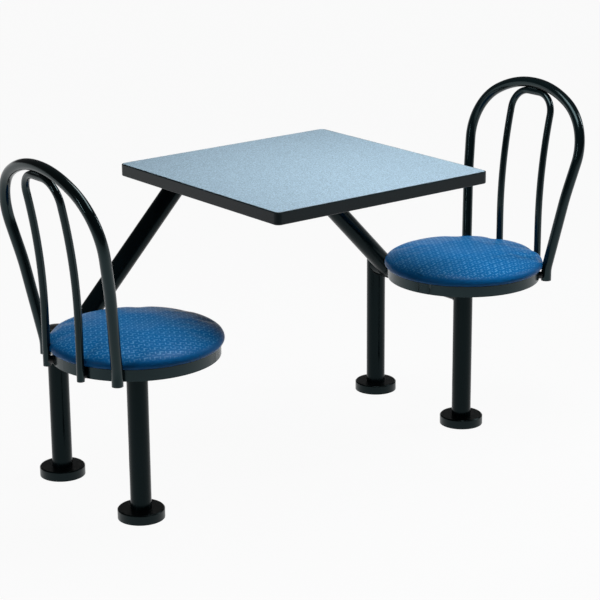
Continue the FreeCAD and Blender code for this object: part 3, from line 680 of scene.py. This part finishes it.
# %% Subdivide, then press the legs in
finish_with(pad, "SUBSURF", levels=1)
outer_tube_r, inner_tube_r = 12.7 * MM, 8.75 * MM
outer_leg = (144.7 * MM, 146.2 * MM)
inner_leg = (188.0 * MM, 69.0 * MM)
outer_splay = 0.16                 # outwards, for each unit of height above the knee
legs = [(outer_leg, outer_tube_r, outer_splay), (inner_leg, inner_tube_r, 0.0)]
knee = 0.410
leg_clear = 0.5 * MM
still_r = 100 * MM                 # nothing nearer to the axis is pressed
dent_reach, dent_fade = 45 * MM, 13 * MM
dent_most, dent_share = 8 * MM, 0.6
sink_most, sink_reach, sink_rise = 4.5 * MM, 24 * MM, 12 * MM
pressed = 0
for v in pad.data.vertices:
    offset = v.co.xy - axis.xy
    r = offset.length
    if r < still_r or (r < board_r + near_board and v.co.z < belly_z):
        continue
    here = math.atan2(offset.y, offset.x)
    depth = sink = 0.0
    for (leg_x, leg_y), tube_r, splay in legs:
        lean = max(0.0, v.co.z - knee) * splay
        for side in (-1, 1):
            leg = Vector((leg_x + lean, side * (leg_y + lean)))
            beside = leg.length * math.sin(here - math.atan2(leg.y, leg.x))
            if abs(beside) > dent_reach or offset.dot(leg) < 0:
                continue
            keep = tube_r + leg_clear
            inner_face = leg.length - keep
            if abs(beside) < keep:
                inner_face = leg.length - math.sqrt(keep ** 2 - beside ** 2)
                depth = max(depth, r - inner_face)
            else:
                nose = r - (leg.length - keep)
                fade = math.exp(-((abs(beside) - keep) / dent_fade) ** 2)
                depth = max(depth, min(nose, dent_most) * dent_share * fade)
            near = (Vector((offset.x, offset.y)) - leg.normalized() * (leg.length - keep)).length
            sink = max(sink, math.exp(-(near / sink_reach) ** 2))
    if depth > 0:
        v.co.xy -= offset.normalized() * depth
        pressed += 1
    if v.co.z > belly_z:
        v.co.z -= sink_most * sink * min(1, (v.co.z - belly_z) / sink_rise)
print("pressed in", pressed, "points")

# %% Puckers at the foot
# The vinyl is gathered as it turns under the board, which leaves shallow uneven folds low down.
gathers = bpy.data.textures.new("gathers", "CLOUDS")
gathers.noise_scale = 0.022
gather_height = 8 * MM             # below the belly, where the folds are at their deepest
gathered = pad.vertex_groups.new(name="gathered")
for v in pad.data.vertices:
    if (v.co.xy - axis.xy).length > board_r + near_board:
        share = (belly_z - v.co.z) / gather_height
        gathered.add([v.index], max(0.0, min(1.0, share)), "REPLACE")
finish_with(pad, "DISPLACE", texture=gathers, texture_coords="LOCAL", vertex_group="gathered",
            strength=-0.9 * MM, mid_level=0.35)

# %% Lay the vinyl out flat for its pattern
skin = pad.data.uv_layers.new(name="vinyl_skin")
for loop in pad.data.loops:
    point = pad.data.vertices[loop.vertex_index].co
    offset = point.xy - axis.xy
    r = offset.length
    dome_z = dome_centre_z + math.sqrt(max(dome_r ** 2 - r ** 2, 0))
    flat = offset.normalized() * (r + max(0.0, dome_z - point.z)) if r > 1e-9 else offset
    skin.data[loop.index].uv = flat
print("vinyl laid out")

# %% One pad for each seat
settle(pad, "right_cushion", "right_seat", vinyl, smooth_deg=75)
only(pad)
bpy.ops.object.duplicate()
other = bpy.context.object
only(other)
bpy.ops.object.mode_set(mode="EDIT")
bpy.ops.mesh.select_all(action="SELECT")
bpy.ops.transform.rotate(value=math.pi, orient_axis="Z", center_override=axis)
bpy.ops.transform.translate(value=(*(seat_axis["left"] - seat_axis["right"]), 0))
bpy.ops.object.mode_set(mode="OBJECT")
laid_askew = Matrix.Rotation(math.radians(26), 2)
for point in other.data.uv_layers["vinyl_skin"].data:
    point.uv = laid_askew @ point.uv
settle(other, "left_cushion", "left_seat", vinyl, smooth_deg=75)
for thing, side in ((pad, "right"), (other, "left")):
    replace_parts(thing, side + "_seat_pad")

# %% [markdown]
# ## Welds
# The frame is one weldment: each tube is cut to a saddle that fits the tube it meets, and a bead of
# weld is laid round the joint and painted over. A bead is a torus round the tube. Its points are
# lifted along the tube, by as much as the saddle rises there, and its thickness ripples every 2 mm,
# once for each dab of the torch. Where two equal tubes touch side by side there is no corner to
# fill, so the bead thins out.

# %% Places on the frame
post_r = (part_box("right_seat_post")[1].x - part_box("right_seat_post")[0].x) / 2
stretcher_z = middle("right_stretcher").z
rail_thick = 6 * MM
rail_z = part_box("right_table_rail")[1].z - rail_thick
print("tubes of", round(2 * post_r / MM, 1), "mm, stretchers at", round(stretcher_z / MM), "mm")


# %% A bead round a tube
dab_mm = 2                         # one ripple of the bead
thinnest, fills_by = 0.35, 1.6     # share left without a corner, and how fast a corner fills it
ripple_share, sway_share = 0.13, 0.07


def weld_round(name, foot, along, across, lift, bead_mm, body="frame"):
    """A rippled bead round a tube at foot. lift(angle) says how far along each point moves."""
    along, across = along.normalized(), across.normalized()
    turn = Matrix((across.cross(along), across, along)).transposed()
    ripples = round(2 * math.pi * post_r / (dab_mm * MM))
    bpy.ops.object.select_all(action="DESELECT")
    bpy.ops.mesh.primitive_torus_add(location=foot, rotation=turn.to_euler(), major_radius=post_r,
                                     minor_radius=bead_mm * MM, major_segments=4 * ripples,
                                     minor_segments=8)
    bead = bpy.context.object
    for v in bead.data.vertices:
        angle = math.atan2(v.co.y, v.co.x)
        core = Vector((math.cos(angle), math.sin(angle), 0)) * post_r
        rise = lift(angle) / post_r
        filled = thinnest + (1 - thinnest) * min(1, abs(rise) * fills_by)
        uneven = (1 + ripple_share * math.sin(ripples * angle)
                  + sway_share * math.sin(3 * angle + 1.3))
        v.co = core + (v.co - core) * (filled * uneven)
        v.co.z += lift(angle)
    return settle(bead, name, body, frame_paint, smooth_deg=60)


def saddle(angle):
    """How far a tube's end rises where it fits over a tube of its own size."""
    return post_r * abs(math.sin(angle))


# %% The frame's welds
for side in SIDES:
    seat_post, rear_post = middle(side + "_seat_post"), middle(side + "_rear_post")
    foot = Vector((seat_post.x, middle(side + "_arm").y, stretcher_z))
    head = Vector((middle(side + "_table_rail").x, foot.y, rail_z))
    slope = (head - foot).normalized()
    weld_round(side + "_arm_weld", foot, slope, Vector((0, 1, 0)), saddle, 2.3)
    for name, post, way in (("seat", seat_post, 1), ("rear", rear_post, -1)):
        weld_round(f"{side}_{name}_post_weld", Vector((post.x, post.y, stretcher_z)),
                   Vector((0, way, 0)), Vector((0, 0, 1)), saddle, 2.2)
    out = Vector((0, 1, 0)).cross(slope)
    weld_round(side + "_rail_weld", head, slope, Vector((0, 1, 0)),
               lambda angle: -post_r * math.cos(angle) * out.z / slope.z, 2.6)

# %% [markdown]
# The inner hoop of each back is welded under the crown of the outer one. Two round tubes that touch
# leave a valley on each side, and a short bead fills it. Such a bead is a lathe's work too: a thin
# spindle with a ripple for each dab and ends that die away, laid along the valley.

# %% A short bead
def weld_line(name, place, length_mm, bead_mm, droop_mm, body):
    """A rippled bead along Y, which droops towards its ends as the hoops do."""
    steps = round(length_mm * 2)
    shape = []
    for i in range(1, steps):
        along = 2 * i / steps - 1
        dab = 1 + 0.10 * math.cos(math.pi * i)
        shape.append((bead_mm * MM * dab * (1 - along ** 4) ** 0.5 + 0.05 * MM,
                      along * length_mm / 2 * MM))
    bead = lathe(shape, Vector((0, 0, 0)), 16)
    only(bead)
    bpy.ops.object.mode_set(mode="EDIT")
    bpy.ops.mesh.select_all(action="SELECT")
    bpy.ops.transform.rotate(value=math.pi / 2, orient_axis="X", center_override=(0, 0, 0))
    bpy.ops.object.mode_set(mode="OBJECT")
    for v in bead.data.vertices:
        v.co.z -= droop_mm * MM * (v.co.y / (length_mm / 2 * MM)) ** 2
        v.co += place
    return settle(bead, name, body, hoop_paint, smooth_deg=60)


# %% The crowns' welds
valley_out = 5.2 * MM              # from the hoops' middle to each valley between them
valley_up = 0.3 * MM               # above the top of the inner hoop
for side, s in SIDES.items():
    outer_low, outer_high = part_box(side + "_back_outer")
    inner_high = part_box(side + "_back_inner")[1]
    crown_x = outer_high.x - outer_tube_r if s > 0 else outer_low.x + outer_tube_r
    for face, step in (("front", -valley_out * s), ("rear", valley_out * s)):
        weld_line(f"{side}_crown_weld_{face}",
                  Vector((crown_x + step, seat_axis[side].y, inner_high.z + valley_up)),
                  length_mm=36, bead_mm=2.5, droop_mm=1.4, body=side + "_seat")

# %% [markdown]
# ## Screws and bolts
# Zinc-plated pan-head screws hold the boards, driven up from below. Black button-head bolts hold
# the legs of the backs, from inside the band. One of each is turned on the lathe, and its drive is
# cut by a boolean. The copies are turned by different amounts, because nobody lines screws up.

# %% Cut a drive
def cut(thing, tool):
    """Take the tool's shape out of a thing, and throw the tool away."""
    finish_with(thing, "BOOLEAN", operation="DIFFERENCE", object=tool, solver="EXACT")
    bpy.data.objects.remove(tool, do_unlink=True)


def pan_head_screw(shank_mm):
    """A pan-head wood screw, upright, with its head below the origin."""
    thread = []
    for i in range(int(shank_mm * 2) - 4):
        thread.append(((2.1 if i % 2 else 1.6) * MM, (0.5 + i * 0.5) * MM))
    head = [(2.6, -3.0), (4.0, -2.8), (4.7, -2.2), (5.0, -1.3), (5.0, -0.3), (4.8, 0.0), (2.1, 0.0)]
    screw = lathe([(r * MM, z * MM) for r, z in head] + thread + [(0.6 * MM, shank_mm * MM)],
                  Vector((0, 0, 0)), 32)
    bpy.ops.object.select_all(action="DESELECT")
    for turn in (0, math.pi / 2):
        bpy.ops.mesh.primitive_cube_add(size=1, location=(0, 0, -2.9 * MM), rotation=(0, 0, turn))
        slot = bpy.context.object
        slot.scale = (5.4 * MM, 1.15 * MM, 3.0 * MM)
        bpy.ops.object.transform_apply(location=True, rotation=True, scale=True)
        cut(screw, slot)
    return screw


def button_head_bolt(shank_mm):
    """A button-head bolt, upright, with its head below the origin and a hexagon socket in it."""
    head = [(2.9, -3.6), (4.1, -3.2), (5.0, -2.3), (5.5, -1.0), (5.5, -0.2), (5.3, 0.0), (2.5, 0.0)]
    bolt = lathe([(r * MM, z * MM) for r, z in head] + [(2.5 * MM, (shank_mm - 0.6) * MM),
                                                        (1.9 * MM, shank_mm * MM)],
                 Vector((0, 0, 0)), 36)
    bpy.ops.object.select_all(action="DESELECT")
    bpy.ops.mesh.primitive_cylinder_add(vertices=6, radius=2.3 * MM, depth=4 * MM,
                                        location=(0, 0, -3.4 * MM))
    cut(bolt, bpy.context.object)
    return bolt


# %% Copies of one fastener
askew_deg = 37                     # from each fastener to the next


def fasten(pattern, name, body, material, stands):
    """Join copies of a fastener, each stood by a matrix, into one piece."""
    copies = []
    for number, stand in enumerate(stands):
        only(pattern)
        bpy.ops.object.duplicate()
        copy = bpy.context.object
        askew = math.radians(askew_deg * number % 90)
        copy.data.transform(stand @ Matrix.Rotation(askew, 4, "Z"))
        copies.append(copy)
    only(copies[0])
    for copy in copies:
        copy.select_set(True)
    bpy.ops.object.join()
    return settle(bpy.context.object, name, body, material, smooth_deg=35)


def done_with(pattern):
    """Throw away the fastener that the copies were made from."""
    bpy.data.objects.remove(pattern, do_unlink=True)


# %% Screws under the top
head_mm, head_r = 3, 5 * MM        # a pan head's height and radius
low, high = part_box("table_screws")
pattern = pan_head_screw((high.z - low.z) / MM - head_mm)
columns = [x * MM for x in (-174, -118, 118, 174)]
rows = [low.y + head_r, (low.y + high.y) / 2, high.y - head_r]
stands = [Matrix.Translation((x, y, low.z + head_mm * MM)) for y in rows for x in columns]
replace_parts(fasten(pattern, "table_screw_set", "frame", zinc, stands),
            "table_screws")
done_with(pattern)

# %% Screws under each seat
low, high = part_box("right_seat_screws")
pattern = pan_head_screw((high.z - low.z) / MM - head_mm)
circle_r = (high.x - low.x) / 2 - head_r
for side in SIDES:
    centre = Vector((*seat_axis[side], low.z + head_mm * MM))
    stands = [Matrix.Translation(centre + Vector((x, y, 0)) * circle_r)
              for x, y in ((1, 0), (0, 1), (-1, 0), (0, -1))]
    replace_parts(fasten(pattern, side + "_seat_screw_set", side + "_seat", zinc,
                       stands), side + "_seat_screws")
done_with(pattern)

# %% Bolts through the legs
# The heads bear on the inside of the band and the shanks point outwards, along each leg's radius.
black_oxide = turned_metal("black_oxide_steel", "#1b1d1f", "#121415", 0.4, 0.4)
low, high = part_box("right_leg_bolts")
bolt_z = (low.z + high.z) / 2
head_seat_r = 185.9 * MM
leg_degrees = (-45.3, -20.15, 20.15, 45.3)
pattern = button_head_bolt(shank_mm=15)
for side, s in SIDES.items():
    stands = []
    for degrees in leg_degrees:
        turn = math.radians(degrees) + (math.pi if s < 0 else 0)
        out = Vector((math.cos(turn), math.sin(turn), 0))
        stands.append(Matrix.Translation(Vector((*seat_axis[side], bolt_z)) + out * head_seat_r)
                      @ Vector((0, 0, 1)).rotation_difference(out).to_matrix().to_4x4())
    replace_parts(fasten(pattern, side + "_leg_bolt_set", side + "_seat", black_oxide,
                       stands), side + "_leg_bolts")
done_with(pattern)
dress({"table_screws", "seat_screws"}, zinc)
dress({"leg_bolts"}, black_oxide)

# %% [markdown]
# ## The last check
# Every CAD node should have a finish by now, and those without one are listed.

# %% Finish
bare = [name for name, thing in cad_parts.items()
        if not thing.material_slots or not all(m.material and m.material.use_nodes
                                               for m in thing.material_slots)]
print("without a finish:", bare)
